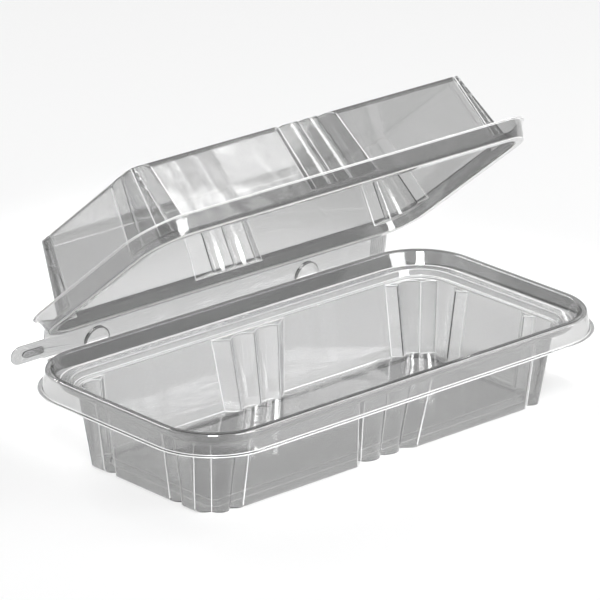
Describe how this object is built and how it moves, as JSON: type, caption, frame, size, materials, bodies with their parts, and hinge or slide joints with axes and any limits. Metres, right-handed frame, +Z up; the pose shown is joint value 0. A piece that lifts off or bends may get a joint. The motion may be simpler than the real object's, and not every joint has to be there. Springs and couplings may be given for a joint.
{
  "type": "plastic clamshell pack",
  "caption": "Clear thermoformed clamshell food pack: fluted rectangular tray with a channelled rim, domed lid and a folding tear-off hinge strip with a pull tab.",
  "frame": {"origin": "centre of the tray's foot ring, on the table", "axes": "+X along the pack's long side, +Y towards the hinge, +Z up"},
  "size_m": [0.23, 0.1328, 0.1305],
  "materials": {
    "clear_sheet": "clear glossy thermoformed sheet, water clear with grey edges"
  },
  "bodies": {
    "tray": {"base_tray": "clear_sheet"},
    "strip": {"tear_strip": "clear_sheet"},
    "lid": {"lid": "clear_sheet"}
  },
  "joints": [
    {"name": "strip_fold", "type": "hinge", "parent": "tray", "child": "strip", "pos_m": [0, 0.071, 0.0327], "axis": [1, 0, 0], "range_deg": [-96.34, 39.5]},
    {"name": "lid_fold", "type": "hinge", "parent": "strip", "child": "lid", "pos_m": [0, 0.0694, 0.04711], "axis": [1, 0, 0], "range_deg": [-44.16, 0]}
  ]
}
